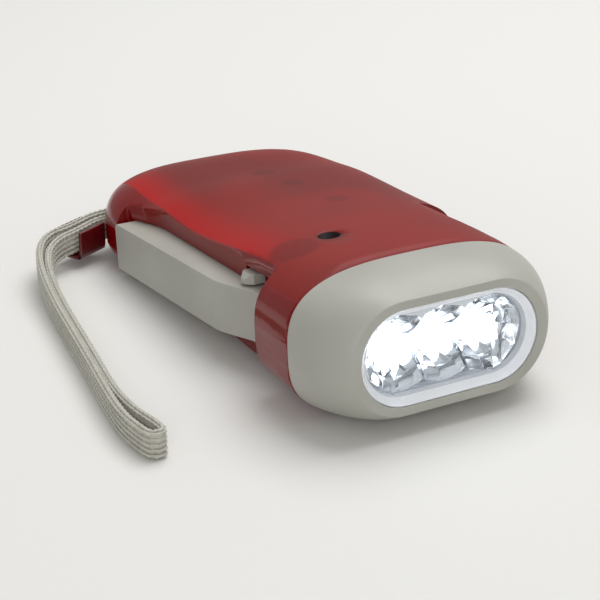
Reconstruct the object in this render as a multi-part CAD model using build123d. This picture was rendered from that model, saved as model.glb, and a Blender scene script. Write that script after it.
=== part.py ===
from build123d import *
import os
from math import acos, atan2, cos, degrees, hypot, pi, radians, sin, sqrt, tan

# Squeeze-powered pocket torch, millimetres, +Z up.
# It is drawn along its lens axis: +X out of the lens, lens face at x = 0, lever on the -Y side, parting
# plane at z = 0. At the end every piece is tipped nose-up, as the torch rests on a table on the underside
# of its head and its tail, and moved so that the origin is under the middle of its box.

os.makedirs("parts", exist_ok=True)

# Overall form
bezel_length = 12.5
body_length = 99.8
front_width = 39.2
front_height = 20.4
seam_half_width = 24.9
far_reach = 28.6
near_reach = 25.9
top_rise = 13.8
bottom_rise = 13.3
seam_squareness_share = 3.0
curve_steps = 20

# Walls and fits
wall = 1.6
bezel_wall = 1.8
front_plate = 2.0
slide_gap = 0.2
stack_gap = 0.05
running_gap = 0.05
fixed_gap = 0.02
seat_gap = 0.1
assembly_gap = 0.3
overrun = 1.0

# Cross-sections of the red body from the seam to the tail:
# share of the length, of the near, far, top and bottom reaches, and squareness of the section's near top,
# far top and bottom
body_shares = [
    (0.000, 0.961, 0.871, 1.000, 1.000, 3.0, 3.0, 3.0),
    (0.035, 0.960, 0.884, 0.996, 0.976, 3.0, 3.1, 3.0),
    (0.120, 0.950, 0.915, 0.985, 0.905, 3.0, 3.3, 3.1),
    (0.295, 0.935, 0.965, 0.940, 0.780, 2.8, 3.6, 3.4),
    (0.476, 0.950, 0.994, 0.895, 0.640, 2.2, 4.1, 3.6),
    (0.656, 0.975, 1.000, 0.875, 0.525, 2.5, 4.7, 3.6),
    (0.785, 0.985, 0.972, 0.860, 0.462, 3.0, 4.6, 3.5),
    (0.865, 0.905, 0.905, 0.840, 0.430, 3.3, 4.2, 3.4),
    (0.925, 0.720, 0.790, 0.745, 0.395, 3.1, 3.8, 3.2),
    (0.970, 0.430, 0.610, 0.600, 0.335, 3.0, 3.4, 3.0),
    (1.000, 0.090, 0.350, 0.310, 0.260, 2.6, 2.6, 2.6),
]
tail_rest_row = body_shares[7]

# Bezel from its front face to the seam: share of the length, growth of the section, roundness of its ends
bezel_shares = [
    (0.00, 0.00, 1.00),
    (0.12, 0.26, 0.88),
    (0.36, 0.62, 0.55),
    (0.68, 0.89, 0.22),
    (1.00, 1.00, 0.00),
]

seam_x = -bezel_length
tail_x = seam_x - body_length


def squareness_scale(angle, squareness):
    """How far a superellipse reaches past the ellipse drawn with the same angle."""
    return (abs(cos(angle)) ** squareness + abs(sin(angle)) ** squareness) ** (-1 / squareness)


def stadium_scale(angle, half, rise):
    """The same reach for a stadium: two half circles of radius rise joined by flats."""
    across, up = half * cos(angle), rise * sin(angle)
    flat = half - rise
    if abs(across) * rise <= flat * abs(up):
        return rise / abs(up)
    square = across ** 2 + up ** 2
    reach = flat * abs(across)
    return (reach + sqrt(reach ** 2 - square * (flat ** 2 - rise ** 2))) / square


def half_section(x, near, far, rise, near_squareness, far_squareness, side):
    """One half of a body section, above (side 1) or below (side -1) the parting plane."""
    centre, half = (far - near) / 2, (far + near) / 2
    points = []
    for step in range(curve_steps + 1):
        angle = pi * step / curve_steps
        scale = squareness_scale(angle, far_squareness if 2 * step < curve_steps else near_squareness)
        points.append((x, centre + half * cos(angle) * scale, side * rise * sin(angle) * scale))
    crown = Spline(*points, tangents=[(0, 0, side), (0, 0, -side)])
    return make_face([crown, Line(crown @ 1, crown @ 0)])


def half_body(side, inset):
    """The body's outer form (inset 0) or the space inside its wall, on one side of the parting plane."""
    rise = top_rise if side > 0 else bottom_rise
    sections = []
    for along, near, far, top, bottom, near_top, far_top, under in body_shares:
        height = rise * (top if side > 0 else bottom) - inset
        squareness = (near_top, far_top) if side > 0 else (under, under)
        x = seam_x - along * (body_length - inset)
        sections.append(half_section(x, near * near_reach - inset, far * far_reach - inset,
                                     height, *squareness, side))
    return loft(sections)


def seam_band(side, front, back, outer_inset, inner_inset):
    """A band just inside the body's seam section, where the shells are joined to their spigot."""
    rise = top_rise if side > 0 else bottom_rise

    def band(inset, spare):
        ends = [half_section(x, seam_half_width - inset, seam_half_width - inset, rise - inset,
                             seam_squareness_share, seam_squareness_share, side)
                for x in (front + spare, back - spare)]
        return loft(ends)

    return band(outer_inset, 0) - band(inner_inset, overrun)


def bezel_section(along, inset):
    """A full bezel section at a share of the bezel's length, drawn in by inset."""
    for low, high in zip(bezel_shares, bezel_shares[1:]):
        if low[0] <= along <= high[0]:
            mix = (along - low[0]) / (high[0] - low[0])
            growth = low[1] + mix * (high[1] - low[1])
            round_share = low[2] + mix * (high[2] - low[2])
    half = front_width / 2 + growth * (seam_half_width - front_width / 2) - inset
    points = []
    for step in range(2 * curve_steps):
        angle = pi * step / curve_steps
        full_rise = top_rise if sin(angle) >= 0 else bottom_rise
        rise = front_height / 2 + growth * (full_rise - front_height / 2) - inset
        scale = (1 - round_share) * squareness_scale(angle, seam_squareness_share)
        scale += round_share * stadium_scale(angle, half, rise)
        points.append((-along * bezel_length, half * cos(angle) * scale, rise * sin(angle) * scale))
    return make_face([Spline(*points, periodic=True)])


def block(x_range, y_range, z_range):
    """A box between two limits along each axis."""
    lows = [min(limits) for limits in (x_range, y_range, z_range)]
    highs = [max(limits) for limits in (x_range, y_range, z_range)]
    size = [high - low for low, high in zip(lows, highs)]
    return Pos(*lows) * Box(*size, align=(Align.MIN, Align.MIN, Align.MIN))


def post(place, radius, z_range):
    """An upright cylinder at a plan position between two heights."""
    low, high = min(z_range), max(z_range)
    base = (Align.CENTER, Align.CENTER, Align.MIN)
    return Pos(place[0], place[1], low) * Cylinder(radius, high - low, align=base)


def stadium_face(width, height, x):
    """A stadium outline square to the lens axis."""
    return Plane((x, 0, 0), x_dir=(0, 1, 0), z_dir=(1, 0, 0)) * SlotOverall(width, height)


def stadium(width, height, x_range):
    """A stadium plate square to the lens axis."""
    low, high = min(x_range), max(x_range)
    return extrude(stadium_face(width, height, low), amount=high - low, dir=(1, 0, 0))


def plate(outline, z_range):
    """A plan outline given a thickness between two heights."""
    low, high = min(z_range), max(z_range)
    return extrude(Pos(0, 0, low) * outline, amount=high - low, dir=(0, 0, 1))


def rounded_outline(corners, radii):
    """A plan outline whose first and last corners stay sharp and whose others are rounded."""
    edge = FilletPolyline(*corners, radius=radii)
    return make_face([edge, Line(edge @ 1, edge @ 0)])


def heading(place, angle, distance):
    """The plan position at a distance and an angle in degrees from another."""
    return (place[0] + distance * cos(radians(angle)), place[1] + distance * sin(radians(angle)))


above = 2 * top_rise
below = -2 * bottom_rise
outside = -2 * near_reach
pieces = {}

# Recess in the near side that the lever closes into: floor, corner and flare towards the tail
front_band = 13.0
recess_length = 62.5
recess_depth = 19.2
recess_flare = 3.2
recess_flare_length = 10.0
recess_radii = [2.4, 24.0, 0.6]
recess_front = seam_x - front_band
recess_back = recess_front - recess_length


def near_recess(grow):
    """The space cut from the near side, or that space grown by a wall."""
    front, back, floor = recess_front + grow, recess_back - grow, grow - recess_depth
    corners = [(front, outside), (front, floor), (back + recess_flare_length, floor),
               (back, floor - recess_flare), (back, outside)]
    return plate(rounded_outline(corners, [radius + grow for radius in recess_radii]), (below, above))


# Step in the far side, whose wall leans inwards away from the parting plane
step_x = -41.5
step_reach = 24.4
step_middle = (-30.0, 24.0)
step_fade = (-18.0, 24.7)
step_end = (-13.8, 27.0)
step_lean = 22.0


def far_step(grow):
    """The space cut from the far side, or that space grown by a wall."""
    halves = []
    for side, height in ((1, above), (-1, below)):
        lean = abs(height) * tan(radians(step_lean))
        faces = []
        for z, drop in ((0, 0), (height, lean)):
            drop += grow
            faces.append(make_face(Polyline(
                (step_x - grow, step_reach - drop, z), (step_middle[0], step_middle[1] - drop, z),
                (step_fade[0], step_fade[1] - drop, z), (step_end[0], step_end[1] - drop, z),
                (step_end[0], -outside, z), (step_x - grow, -outside, z), close=True)))
        halves.append(loft(faces, ruled=True))
    return halves


# Lever: channel section, hung on a pin just behind the head
lever_back = -87.0
lever_half = 4.9
lever_tail_reach = 25.9
lever_waist_x = -41.5
lever_waist_reach = 24.3
lever_neck_x = -33.0
lever_neck_reach = 21.1
lever_nose_x = -24.2
lever_nose_root = 16.5
lever_hub_x = -36.0
lever_root_reach = 12.5
lever_relief_x = -70.0
lever_relief_reach = 17.3
lever_skin = 1.8
lever_flange = 1.6
lever_bend_radii = [14.0, 6.0, 0.8, 0.8, 0.8]
lever_opening = 13.0
pivot = (-29.5, -14.0)
pivot_radius = 1.5
hub_radius = 4.3
pivot_boss_radius = 4.0
pivot_reach = 8.4

lever_slot_half = lever_half + slide_gap
lever_slot_back = lever_back - 2 * slide_gap
hollow_half = lever_half - lever_flange
nose_sweep = hypot(lever_nose_x - pivot[0], lever_neck_reach + pivot[1])

# Gear train: module, teeth and the directions from each centre to the next
gear_module = 0.6
pressure_angle = radians(25.0)
tip_share = 0.8
root_share = 1.1
gear_backlash = 0.12
flank_steps = 4
sector_teeth = 90
first_pinion_teeth = 14
first_wheel_teeth = 42
second_pinion_teeth = 12
second_wheel_teeth = 28
rotor_pinion_teeth = 10
first_direction = 136.4
second_direction = 184.4
third_direction = 184.4
gear_pin_radius = 1.0
gear_boss_radius = 1.8
sector_z = (1.0, 3.0)
first_wheel_z = (3.9, 5.2)
second_wheel_z = (5.6, 7.0)
pinion_spare = 0.2
sector_from = 116.0
sector_to = 143.5
sector_spread = 2.0


def centre_distance(teeth, mate_teeth):
    return gear_module * (teeth + mate_teeth) / 2


first_centre = heading(pivot, first_direction, centre_distance(sector_teeth, first_pinion_teeth))
second_centre = heading(first_centre, second_direction,
                        centre_distance(first_wheel_teeth, second_pinion_teeth))
rotor_centre = heading(second_centre, third_direction,
                       centre_distance(second_wheel_teeth, rotor_pinion_teeth))


def involute(angle):
    return tan(angle) - angle


def tooth_points(teeth, angle):
    """One tooth about a centre line, from one root over the tip to the other root."""
    pitch_radius = gear_module * teeth / 2
    base_radius = pitch_radius * cos(pressure_angle)
    root_radius = pitch_radius - root_share * gear_module
    tip_radius = pitch_radius + tip_share * gear_module
    start = max(base_radius, root_radius)
    half_at_pitch = pi / (2 * teeth) - gear_backlash / (2 * pitch_radius)
    flank = []
    for step in range(flank_steps + 1):
        radius = start + (tip_radius - start) * step / flank_steps
        turn = acos(min(1, base_radius / radius))
        flank.append((radius, half_at_pitch + involute(pressure_angle) - involute(turn)))
    if root_radius < base_radius:
        flank.insert(0, (root_radius, flank[0][1]))
    line = radians(angle)
    rising = [(radius * cos(line - half), radius * sin(line - half)) for radius, half in flank]
    falling = [(radius * cos(line + half), radius * sin(line + half)) for radius, half in flank]
    return rising + falling[::-1]


def gear(place, teeth, tooth_angle, z_range):
    """A spur gear with a tooth on the given angle."""
    points = []
    for count in range(teeth):
        points += tooth_points(teeth, tooth_angle + 360 * count / teeth)
    return plate(Pos(place[0], place[1]) * make_face(Polyline(*points, close=True)), z_range)


def mate_angle(direction, teeth, tooth_angle, mate_teeth):
    """Where a tooth of the next gear points, so that the two mesh on their line of centres."""
    share = ((direction - tooth_angle) * teeth / 360) % 1
    return direction + 180 + (share + 0.5) * 360 / mate_teeth


first_tooth_angle = first_direction
first_pinion_angle = mate_angle(first_direction, sector_teeth, first_tooth_angle, first_pinion_teeth)
second_pinion_angle = mate_angle(second_direction, first_wheel_teeth, 0, second_pinion_teeth)
rotor_pinion_angle = mate_angle(third_direction, second_wheel_teeth, 0, rotor_pinion_teeth)

# Generator: flywheel, magnet and ratchet on one shaft, between the poles of a laminated core
shaft_radius = 1.0
flywheel_radius = 9.2
flywheel_z = (-4.3, -0.9)
magnet_radius = 6.6
magnet_height = 4.0
ratchet_radius = 6.4
ratchet_bite = 1.1
ratchet_teeth = 9
ratchet_height = 1.6
air_gap = 0.5
core_thickness = 2.6
core_bar = 3.0
core_arm = 2.4
core_back = -99.5
core_front = -75.5
pole_root = -86.5
pole_horn = 4.5
core_z = (0, core_thickness)
bobbin_radius = 2.9
bobbin_flange_radius = 4.4
bobbin_flange = 0.8
winding_radius = 4.1
core_post_x = -91.0
core_post_radius = 1.4
core_pin_radius = 0.5

pole_radius = magnet_radius + air_gap
magnet_z = (flywheel_z[1] + stack_gap, flywheel_z[1] + stack_gap + magnet_height)
ratchet_z = (magnet_z[1] + stack_gap, magnet_z[1] + stack_gap + ratchet_height)
rotor_pinion_z = (ratchet_z[1] + stack_gap, second_wheel_z[1] + stack_gap)
core_axis = (core_back + core_bar / 2, core_thickness / 2)
arm_offset = pole_radius + core_arm / 2

# Pins and bosses: lower and upper ends of each, from the room between the shells
first_pin_z = (-6.5, 8.6)
second_pin_z = (-5.6, 8.8)
rotor_shaft_z = (-5.9, 8.4)
strap_pin_z = (-3.6, 6.9)
strap_pin_place = (-99.9, -16.4)
strap_slot_x = (-103.3, -98.0)
strap_slot_z = (-2.1, 4.4)
strap_slot_depth = -17.5
strap_pin_radius = 1.2
strap_boss_radius = 2.2
pin_end_gap = 0.15

# Case screws: one behind the head and one at the tail
screws = [((-30.0, -6.5), 7.4), ((-105.8, 3.7), 3.9)]
screw_shank_radius = 1.1
screw_head_radius = 1.9
screw_head_height = 1.3
screw_depth = 9.0
screw_tail_depth = 6.0
screw_boss_radius = 2.6
counterbore_radius = 2.1
screw_clearance = 1.25
driver_slot = 0.7
driver_depth = 0.6

# Spigot, joining band and bulkhead that carry the head
spigot_length = 2.6
spigot_gap = 0.25
spigot_wall = 1.4
band_length = 3.0
band_lap = 0.6
bulkhead_x = (-18.5, -17.0)
bulkhead_gap = 5.0

# Light unit: lens, reflector, three LEDs and their board
opening_width = 35.4
opening_height = 17.5
lens_flange_width = 37.2
lens_flange_height = 18.3
lens_flange_thickness = 1.2
window_width = 32.5
window_height = 14.6
window_depth = 1.7
mouth_edge = 0.3
led_pitch = 8.6
led_count = 3
led_radius = 2.5
led_base_radius = 2.9
led_base = 1.0
led_length = 8.5
dish_mouth_radius = 7.3
dish_hole_radius = 2.85
dish_facets = 12
dish_shares = [(0.0, 0.0), (0.20, 0.30), (0.55, 0.70), (1.0, 1.0)]
reflector_flange = 1.0
reflector_width = 34.2
reflector_height = 16.2
reflector_back_width = 31.0
reflector_back_height = 13.4
reflector_depth = 10.5
board_thickness = 1.6
board_width = 32.0
board_height = 13.0
led_leg_radius = 0.3
led_leg_spacing = 1.27
led_leg_length = 1.2

lens_back = -front_plate - seat_gap - lens_flange_thickness
reflector_front = lens_back - seat_gap
reflector_back = reflector_front - reflector_depth
board_back = bulkhead_x[1] + seat_gap
board_front = board_back + board_thickness

# Lock slider above the lever
lock_window = (-38.7, -28.0)
lock_window_top = 7.9
lock_knob_length = 4.0
lock_knob_reach = 21.2
lock_knob_height = 1.9
lock_base = (-43.0, -36.1)
lock_base_top = 8.3
lock_base_thickness = 0.9
lock_rib = (-44.5, -34.0)
lock_rib_thickness = 1.2
lock_rib_low = 6.6

# Slide switch on the far side
switch_x = (-40.0, -31.0)
switch_y = (15.2, 19.7)
switch_z = (0.5, 6.5)
switch_travel = 3.0
switch_stem = 2.4
switch_stem_z = (2.4, 4.8)
switch_knob_reach = 25.6
switch_rest_x = -37.6
switch_inset = 1.6

# Cells in a round cradle, with a contact below and above
cell_centre = (-30.0, 9.0)
cell_radius = 10.0
cell_height = 3.2
cell_bottom = -7.6
cradle_gap = 0.3
cradle_wall = 1.5
cradle_top = -3.0
contact_thickness = 0.3
contact_radius = 4.0
contact_width = 4.0
pad_radius = 5.0
tab_radius = 1.3
contact_reach = cell_radius + cradle_gap + 2 * tab_radius

# Circuit board
circuit_x = (-65.0, -43.6)
circuit_y = (10.2, 23.0)
circuit_z = (-4.0, -3.0)
circuit_posts = [(-62.5, 20.6), (-45.8, 20.8)]
circuit_post_radius = 1.5
circuit_pin_radius = 0.6
diode_count = 4
diode_size = (3.4, 1.5, 1.3)
diode_pitch = 2.3
diode_start = (-60.5, 12.2)
capacitor_place = (-48.0, 15.5)
capacitor_radius = 2.3
capacitor_height = 2.3

# Shells
outer = {side: half_body(side, 0) for side in (1, -1)}
half_space = {1: block((2 * tail_x, -tail_x), (outside, -outside), (0, above)),
              -1: block((2 * tail_x, -tail_x), (outside, -outside), (below, 0))}
lever_slot = [
    block((lever_slot_back, recess_front - overrun), (-recess_depth - recess_flare - overrun,
          wall + overrun / 2 - recess_depth), (-lever_slot_half, lever_slot_half)),
    block((recess_front - 2 * overrun, pivot[0] + nose_sweep + slide_gap),
          (-lever_neck_reach - slide_gap, wall + overrun / 2 - recess_depth),
          (-lever_slot_half, lever_slot_half)),
]
# Towards the tail the bottom shell is too shallow to pass under the lever, so it is notched right through
lever_notch = block((lever_slot_back, lever_relief_x), (-recess_depth - recess_flare - overrun,
                    wall + overrun / 2 - recess_depth), (below, -hollow_half))
strap_slot = block(strap_slot_x, (-near_reach, strap_slot_depth), strap_slot_z)


def pin_hole(place, radius, ends):
    return post(place, radius + fixed_gap, (ends[0] - pin_end_gap, ends[1] + pin_end_gap))


def boss(side, place, radius, end):
    """A boss from the outer skin of one shell to a height inside."""
    return post(place, radius, (end, above if side > 0 else below)) & outer[side]


def shell(side):
    """One half of the body, with the ribs and bosses that carry what is inside."""
    spaces = [near_recess(wall)] + far_step(wall)
    cavity = half_body(side, wall)
    for space in spaces:
        cavity -= space
    body = outer[side] - cavity
    body += seam_band(side, seam_x, seam_x - band_length, wall - band_lap,
                      bezel_wall + spigot_gap + spigot_wall + assembly_gap)
    ends = (1, 1 - spigot_length / bezel_length)
    gap = bezel_wall + spigot_gap
    spigot = loft([bezel_section(share, gap) for share in ends])
    spigot -= loft([bezel_section(share, gap + spigot_wall) for share in ends])
    body += spigot & half_space[side]
    z_out = above if side > 0 else below
    body += block(bulkhead_x, (outside, -outside), (side * bulkhead_gap, z_out)) & outer[side]
    body += boss(side, pivot, pivot_boss_radius, side * lever_slot_half)
    for place, _ in screws:
        body += boss(side, place, screw_boss_radius, side * stack_gap / 2)
    if side > 0:
        body += boss(side, first_centre, gear_boss_radius, first_wheel_z[1] + slide_gap)
        body += boss(side, second_centre, gear_boss_radius, second_wheel_z[1] + slide_gap)
        body += boss(side, rotor_centre, gear_boss_radius, rotor_pinion_z[1] + slide_gap)
        body += boss(side, strap_pin_place, strap_boss_radius, strap_slot_z[1] + slide_gap)
        rib_y = lock_rib_y + lock_rib_thickness
        body += block(lock_rib, (lock_rib_y, rib_y), (lock_rib_low, above)) & outer[side]
    else:
        body += boss(side, first_centre, gear_boss_radius, sector_z[0] - 2 * slide_gap)
        body += boss(side, second_centre, gear_boss_radius, first_wheel_z[0] - 2 * slide_gap)
        body += boss(side, rotor_centre, gear_boss_radius, flywheel_z[0] - slide_gap)
        body += boss(side, strap_pin_place, strap_boss_radius, strap_slot_z[0] - slide_gap)
        ring = post(cell_centre, cell_radius + cradle_gap + cradle_wall, (below, cradle_top))
        ring -= post(cell_centre, cell_radius + cradle_gap, (below, cradle_top))
        body += ring & outer[side]
        body += boss(side, cell_centre, pad_radius, cell_bottom - contact_thickness - 2 * stack_gap)
        tab_place = (cell_centre[0], cell_centre[1] + contact_reach - tab_radius)
        body += boss(side, tab_place, tab_radius, cell_top)
        for place in circuit_posts:
            body += boss(side, place, circuit_post_radius, circuit_z[0] - stack_gap)
            body += boss(side, place, circuit_pin_radius, circuit_z[1])
        for hand in (-1, 1):
            place = (core_post_x, rotor_centre[1] + hand * arm_offset)
            body += boss(side, place, core_post_radius, core_z[0] - stack_gap)
            body += boss(side, place, core_pin_radius, core_z[1])
    cuts = [near_recess(0)] + far_step(0)
    if side < 0:
        cuts.append(lever_notch)
    cuts += lever_slot + [strap_slot]
    cuts.append(pin_hole(pivot, pivot_radius, (-pivot_reach, pivot_reach)))
    cuts.append(pin_hole(first_centre, gear_pin_radius, first_pin_z))
    cuts.append(pin_hole(second_centre, gear_pin_radius, second_pin_z))
    cuts.append(post(rotor_centre, shaft_radius + running_gap,
                     (rotor_shaft_z[0] - pin_end_gap, rotor_shaft_z[1] + pin_end_gap)))
    cuts.append(pin_hole(strap_pin_place, strap_pin_radius, strap_pin_z))
    for (place, seat), depth in zip(screws, (screw_depth, screw_tail_depth)):
        if side > 0:
            cuts.append(post(place, screw_clearance, (0, seat)))
            cuts.append(post(place, counterbore_radius, (seat, above)))
        else:
            cuts.append(post(place, screw_shank_radius + fixed_gap, (seat - depth - pin_end_gap, 0)))
    if side > 0:
        cuts.append(block(lock_window, (outside, lock_base_y - stack_gap), (0, lock_window_top)))
        cuts.append(switch_slot)
    for cut in cuts:
        body -= cut
    return body


# Heights and places that the shells share with what they carry
lock_base_y = wall - recess_depth + seat_gap
lock_rib_y = lock_base_y + lock_base_thickness + seat_gap
cell_top = cell_bottom + 2 * cell_height + stack_gap
stem_low = switch_rest_x - switch_stem / 2 - slide_gap
stem_high = switch_rest_x + switch_stem / 2 + switch_travel + slide_gap
switch_slot = block((stem_low, stem_high), (switch_y[1] - overrun, -outside),
                    (switch_stem_z[0] - slide_gap, switch_stem_z[1] + slide_gap))

pieces["top_shell"] = shell(1)
pieces["bottom_shell"] = shell(-1)

# Head bezel
inner_shares = [front_plate / bezel_length, 0.36, 0.68, 1.0]
bezel = loft([bezel_section(share[0], 0) for share in bezel_shares])
bezel -= loft([bezel_section(share, bezel_wall) for share in inner_shares])
bezel -= stadium(opening_width, opening_height, (overrun, -front_plate - overrun))
pieces["head_bezel"] = bezel

# Lens: a flange behind the bezel's plate and a tapered rim that stands in its opening
rim_width, rim_height = opening_width - 2 * slide_gap, opening_height - 2 * slide_gap
lens = stadium(lens_flange_width, lens_flange_height, (lens_back, lens_back + lens_flange_thickness))
lens += stadium(rim_width, rim_height, (lens_back, -mouth_edge))
lens -= loft([stadium_face(window_width, window_height, -window_depth),
              stadium_face(rim_width - mouth_edge, rim_height - mouth_edge, -mouth_edge)])
pieces["lens"] = lens

# Reflector: three facetted dishes in one moulding
reflector = stadium(lens_flange_width, lens_flange_height, (reflector_front - reflector_flange,
                                                            reflector_front))
reflector += loft([stadium_face(reflector_back_width, reflector_back_height, reflector_back),
                   stadium_face(reflector_width, reflector_height, reflector_front - reflector_flange)])
led_places = [(count - (led_count - 1) / 2) * led_pitch for count in range(led_count)]
for y in led_places:
    rings = []
    for along, narrowing in dish_shares:
        radius = dish_mouth_radius + narrowing * (dish_hole_radius - dish_mouth_radius)
        ring_plane = Plane((reflector_front - along * reflector_depth, y, 0), x_dir=(0, 1, 0),
                           z_dir=(1, 0, 0))
        rings.append(ring_plane * RegularPolygon(radius, dish_facets))
    reflector -= loft(rings, ruled=True)
pieces["reflector"] = reflector


def along_x(y, z, radius, x_range):
    """A cylinder along the lens axis between two distances."""
    low, high = min(x_range), max(x_range)
    place = Plane((low, y, z), z_dir=(1, 0, 0))
    return place * Cylinder(radius, high - low, align=(Align.CENTER, Align.CENTER, Align.MIN))


# LEDs and the board that holds them
led_board = block((board_back, board_front), (-board_width / 2, board_width / 2),
                  (-board_height / 2, board_height / 2))
led_base_x = board_front + stack_gap
for name, y in zip(("right", "centre", "left"), led_places):
    dome_x = led_base_x + led_length - led_radius
    led = along_x(y, 0, led_base_radius, (led_base_x, led_base_x + led_base))
    led += along_x(y, 0, led_radius, (led_base_x, dome_x))
    led += Pos(dome_x, y, 0) * Sphere(led_radius)
    for hand in (-1, 1):
        leg_y = y + hand * led_leg_spacing
        led += along_x(leg_y, 0, led_leg_radius, (board_back - led_leg_length, led_base_x))
        led_board -= along_x(leg_y, 0, led_leg_radius + fixed_gap, (board_back, board_front))
    pieces[f"led_{name}"] = led
pieces["led_board"] = led_board

# Lever with its toothed sector
lever_corners = [(lever_back, -lever_tail_reach), (lever_waist_x, -lever_waist_reach),
                 (lever_neck_x, -lever_neck_reach), (lever_nose_x, -lever_neck_reach),
                 (lever_nose_x, -lever_nose_root), (lever_hub_x, -lever_root_reach),
                 (lever_back, -lever_root_reach)]
lever = plate(rounded_outline(lever_corners, lever_bend_radii), (-lever_half, lever_half))
hollow_x = lever_back + lever_skin
hollow_corners = [(hollow_x, 0), (hollow_x, lever_skin - lever_tail_reach),
                  (lever_waist_x, lever_skin - lever_waist_reach),
                  (lever_neck_x, lever_skin - lever_neck_reach),
                  (lever_nose_x - lever_skin, lever_skin - lever_neck_reach),
                  (lever_nose_x - lever_skin, 0)]
channel = rounded_outline(hollow_corners, [lever_skin / 2, lever_bend_radii[0], lever_bend_radii[1],
                                           lever_skin / 2])
lever -= plate(channel, (-hollow_half, hollow_half))
lever -= block((lever_back - overrun, lever_relief_x), (-lever_relief_reach, 0),
               (-lever_half - overrun, -hollow_half))
spring_room = (-hollow_half, sector_z[0] - pinion_spare)
lever += post(pivot, hub_radius, (spring_room[1], lever_half))
lever += post(pivot, hub_radius, (-lever_half, spring_room[0]))
sector = [heading((0, 0), sector_to + sector_spread, hub_radius / 2),
          heading((0, 0), sector_from - sector_spread, hub_radius / 2)]
sector.append(heading((0, 0), sector_from - sector_spread, gear_module * (sector_teeth / 2 - root_share)))
tooth_step = 360 / sector_teeth
tooth_count = int((sector_to - sector_from) / tooth_step)
first_tooth = first_tooth_angle - tooth_step * int((first_tooth_angle - sector_from) / tooth_step)
for count in range(tooth_count):
    sector += tooth_points(sector_teeth, first_tooth + count * tooth_step)
sector.append(heading((0, 0), sector_to + sector_spread, gear_module * (sector_teeth / 2 - root_share)))
lever += plate(Pos(pivot[0], pivot[1]) * make_face(Polyline(*sector, close=True)), sector_z)
lever -= post(screws[0][0], screw_boss_radius + 2 * assembly_gap, (-lever_half - overrun, above))
lever -= post(pivot, pivot_radius + running_gap, (-lever_half - overrun, lever_half + overrun))
pieces["lever"] = lever
pieces["lever_pivot_pin"] = post(pivot, pivot_radius, (-pivot_reach, pivot_reach))

# Return spring round the pivot pin, with one leg in the lever's channel and one against the shell
spring_inner = pivot_radius + assembly_gap
spring_wire = 0.8
spring_outer = spring_inner + spring_wire
spring_z = (spring_room[0] + slide_gap, spring_room[1] - slide_gap)
spring = post(pivot, spring_outer, spring_z) - post(pivot, spring_inner, spring_z)
leg_length = 15.0
leg_y = pivot[1] - spring_inner - spring_wire / 2
spring += block((pivot[0], pivot[0] - leg_length), (leg_y, leg_y - spring_wire / 2),
                (spring_z[0], spring_z[0] + spring_wire))
spring += block((pivot[0], bulkhead_x[0] - assembly_gap), (-leg_y + 2 * pivot[1],
                -leg_y + 2 * pivot[1] + spring_wire / 2), (spring_z[1] - spring_wire, spring_z[1]))
pieces["lever_return_spring"] = spring

# Gears on fixed pins
pieces["first_gear_pin"] = post(first_centre, gear_pin_radius, first_pin_z)
pieces["second_gear_pin"] = post(second_centre, gear_pin_radius, second_pin_z)
first_gear = gear(first_centre, first_pinion_teeth, first_pinion_angle,
                  (sector_z[0] - pinion_spare, first_wheel_z[0]))
first_gear += gear(first_centre, first_wheel_teeth, 0, first_wheel_z)
first_gear -= post(first_centre, gear_pin_radius + running_gap, (below, above))
second_gear = gear(second_centre, second_pinion_teeth, second_pinion_angle,
                   (first_wheel_z[0] - pinion_spare, second_wheel_z[0]))
second_gear += gear(second_centre, second_wheel_teeth, 0, second_wheel_z)
second_gear -= post(second_centre, gear_pin_radius + running_gap, (below, above))
pieces["first_gear"] = first_gear
pieces["second_gear"] = second_gear

# Rotor: pinion, ratchet wheel, magnet and flywheel pressed on one shaft
shaft_bore = post(rotor_centre, shaft_radius + fixed_gap, (below, above))
pieces["rotor_pinion"] = gear(rotor_centre, rotor_pinion_teeth, rotor_pinion_angle,
                              rotor_pinion_z) - shaft_bore
ratchet_points = []
for count in range(ratchet_teeth):
    angle = 360 * count / ratchet_teeth
    ratchet_points.append(heading(rotor_centre, angle, ratchet_radius))
    ratchet_points.append(heading(rotor_centre, angle, ratchet_radius - ratchet_bite))
pieces["ratchet_wheel"] = plate(make_face(Polyline(*ratchet_points, close=True)), ratchet_z) - shaft_bore
pieces["magnet_ring"] = post(rotor_centre, magnet_radius, magnet_z) - shaft_bore
pieces["flywheel"] = post(rotor_centre, flywheel_radius, flywheel_z) - shaft_bore
pieces["rotor_shaft"] = post(rotor_centre, shaft_radius, rotor_shaft_z)

# Core, bobbin and winding
mid_y = rotor_centre[1]
arm_outer = pole_radius + core_arm
core = block((core_back, core_front), (mid_y - arm_outer, mid_y + arm_outer), core_z)
core -= block((core_back + core_bar, pole_root), (mid_y - pole_radius, mid_y + pole_radius), core_z)
core -= block((pole_root, core_front), (mid_y - pole_horn, mid_y + pole_horn), core_z)
core -= post(rotor_centre, pole_radius, core_z)
for hand in (-1, 1):
    core -= post((core_post_x, mid_y + hand * arm_offset), core_pin_radius + running_gap, core_z)
pieces["stator_core"] = core


def along_y(radius, y_range):
    """A cylinder along the winding's axis, which is the back bar of the core."""
    low, high = min(y_range), max(y_range)
    place = Plane((core_axis[0], low, core_axis[1]), z_dir=(0, 1, 0))
    return place * Cylinder(radius, high - low, align=(Align.CENTER, Align.CENTER, Align.MIN))


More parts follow.
